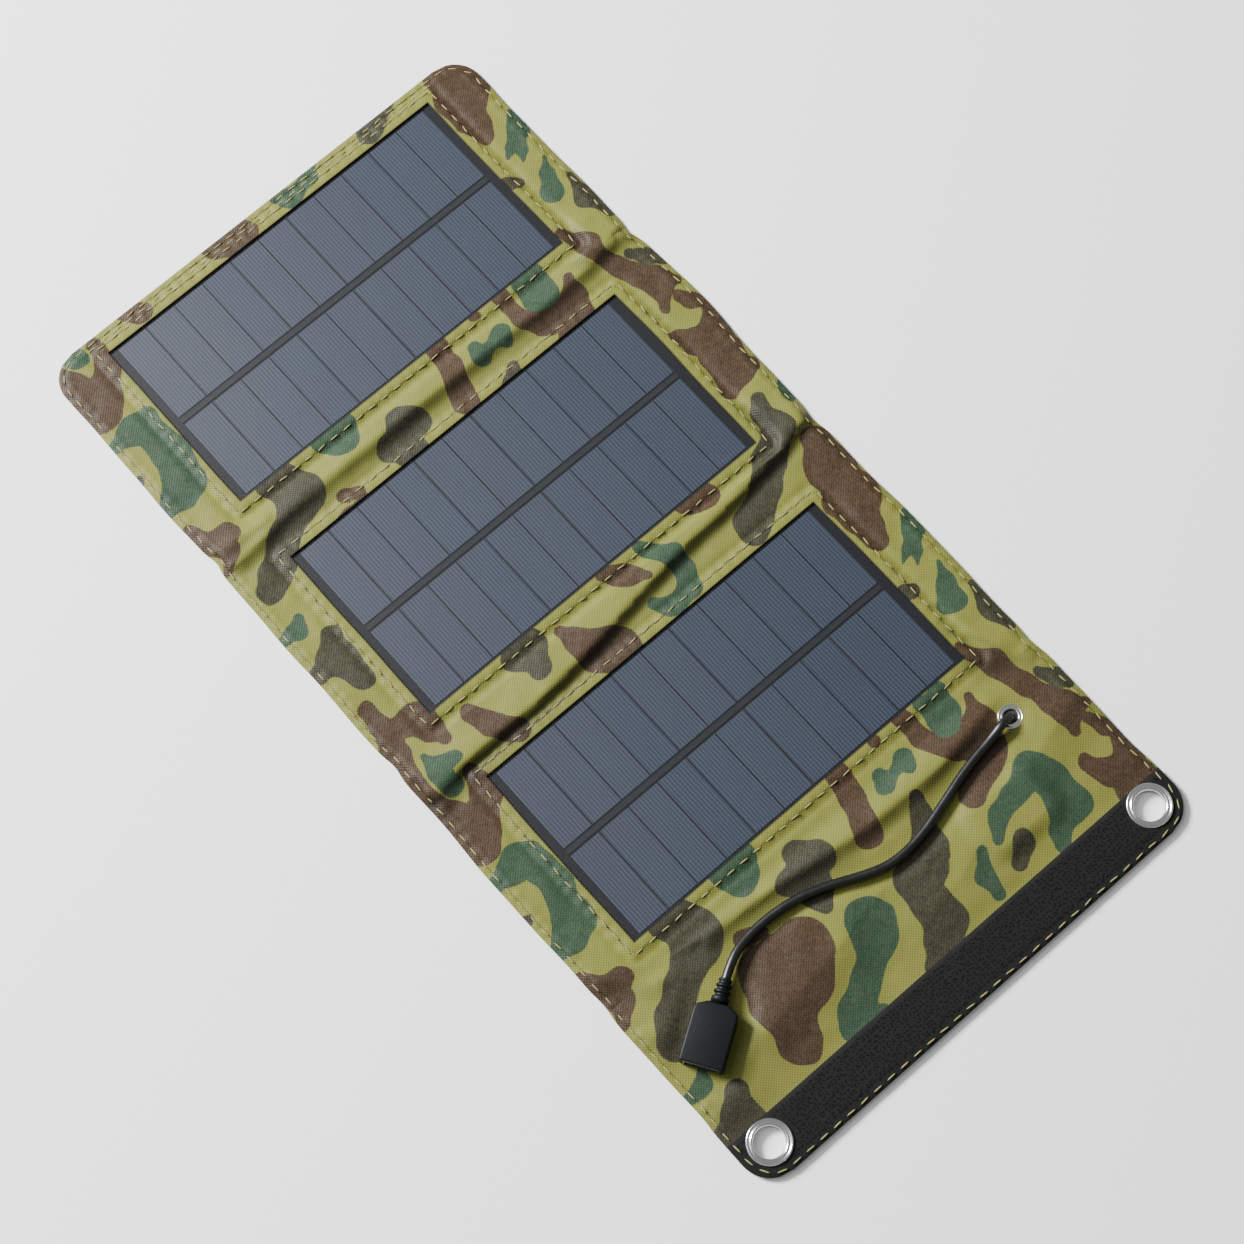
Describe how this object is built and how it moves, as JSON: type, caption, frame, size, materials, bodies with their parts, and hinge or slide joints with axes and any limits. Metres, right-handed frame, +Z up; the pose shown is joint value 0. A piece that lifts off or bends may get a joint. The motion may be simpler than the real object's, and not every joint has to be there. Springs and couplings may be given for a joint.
{
  "type": "folding solar panel",
  "caption": "Folding cloth solar charger with framed cell modules in a row, a cable flap with a hook strip and corner grommets, and a short lead with a socket.",
  "frame": {"origin": "on the floor under the middle of the open panel", "axes": "+Y along the row of modules towards the first panel's free edge, +X across it, +Z up from the floor"},
  "size_m": [0.209, 0.4198, 0.0084],
  "materials": {
    "camouflage_cloth": "coated polyester cloth printed in camouflage",
    "module_board": "dark glass fibre board",
    "solar_cell": "dark blue silicon with silver fingers",
    "dark_ribbon": "dark coated collector ribbon",
    "clear_film": "clear embossed cover film",
    "copper_ribbon": "tinned copper",
    "black_tape": "woven hook and loop tape",
    "bright_nickel": "polished nickel plate",
    "cable_sheath": "soft black vinyl",
    "black_plastic": "moulded black plastic",
    "gold_contact": "gold plated"
  },
  "bodies": {
    "panel_1": {"front_cloth_1": "camouflage_cloth", "back_cloth_1": "camouflage_cloth", "backing_board_1": "module_board", "solar_cells_1": "solar_cell", "centre_tab_1": "dark_ribbon", "cover_film_1": "clear_film", "bus_ribbons_1": "copper_ribbon"},
    "spine_1": {"spine_front_1": "camouflage_cloth", "spine_back_1": "camouflage_cloth", "spine_ribbons_1": "copper_ribbon"},
    "panel_2": {"front_cloth_2": "camouflage_cloth", "back_cloth_2": "camouflage_cloth", "backing_board_2": "module_board", "solar_cells_2": "solar_cell", "centre_tab_2": "dark_ribbon", "cover_film_2": "clear_film", "bus_ribbons_2": "copper_ribbon", "loop_tape": "black_tape"},
    "spine_2": {"spine_front_2": "camouflage_cloth", "spine_back_2": "camouflage_cloth", "spine_ribbons_2": "copper_ribbon"},
    "panel_3": {"front_cloth_3": "camouflage_cloth", "back_cloth_3": "camouflage_cloth", "backing_board_3": "module_board", "solar_cells_3": "solar_cell", "centre_tab_3": "dark_ribbon", "cover_film_3": "clear_film", "bus_ribbons_3": "copper_ribbon"},
    "spine_3": {"spine_front_3": "camouflage_cloth", "spine_back_3": "camouflage_cloth", "spine_ribbons_3": "copper_ribbon"},
    "flap": {"flap_front_cloth": "camouflage_cloth", "flap_back_cloth": "camouflage_cloth", "flap_ribbons": "copper_ribbon", "inner_leads": "copper_ribbon", "regulator_board": "module_board", "regulator_parts": "black_plastic", "hook_tape": "black_tape", "corner_grommets": "bright_nickel", "grommet_washers": "bright_nickel", "cable_eyelet": "bright_nickel", "cable": "cable_sheath", "strain_relief": "black_plastic", "socket_housing": "black_plastic", "socket_shell": "bright_nickel", "socket_tongue": "black_plastic", "socket_contacts": "gold_contact"}
  },
  "joints": [
    {"name": "fold_2_lower", "type": "hinge", "parent": "panel_3", "child": "spine_2", "pos_m": [0, -0.01018, 0.00095], "axis": [1, 0, 0], "range_deg": [0, 90]},
    {"name": "fold_2_upper", "type": "hinge", "parent": "spine_2", "child": "panel_2", "pos_m": [0, -0.00057, 0.00095], "axis": [1, 0, 0], "range_deg": [0, 90]},
    {"name": "fold_1_lower", "type": "hinge", "parent": "panel_2", "child": "spine_1", "pos_m": [0, 0.10318, 0.00095], "axis": [1, 0, 0], "range_deg": [0, 90], "deforming": ["spine_front_1", "spine_back_1", "spine_ribbons_1"]},
    {"name": "fold_1_upper", "type": "hinge", "parent": "spine_1", "child": "panel_1", "pos_m": [0, 0.10817, 0.00095], "axis": [1, 0, 0], "range_deg": [0, 90]},
    {"name": "flap_fold_inner", "type": "hinge", "parent": "panel_3", "child": "spine_3", "pos_m": [0, -0.11597, 0.00095], "axis": [-1, 0, 0], "range_deg": [0, 90]},
    {"name": "flap_fold_outer", "type": "hinge", "parent": "spine_3", "child": "flap", "pos_m": [0, -0.13387, 0.00095], "axis": [-1, 0, 0], "range_deg": [0, 90]}
  ],
  "couplings": [
    {"joint": "fold_2_upper", "follows": "fold_2_lower", "ratio": 1},
    {"joint": "fold_1_upper", "follows": "fold_1_lower", "ratio": 1},
    {"joint": "flap_fold_outer", "follows": "flap_fold_inner", "ratio": 1}
  ]
}
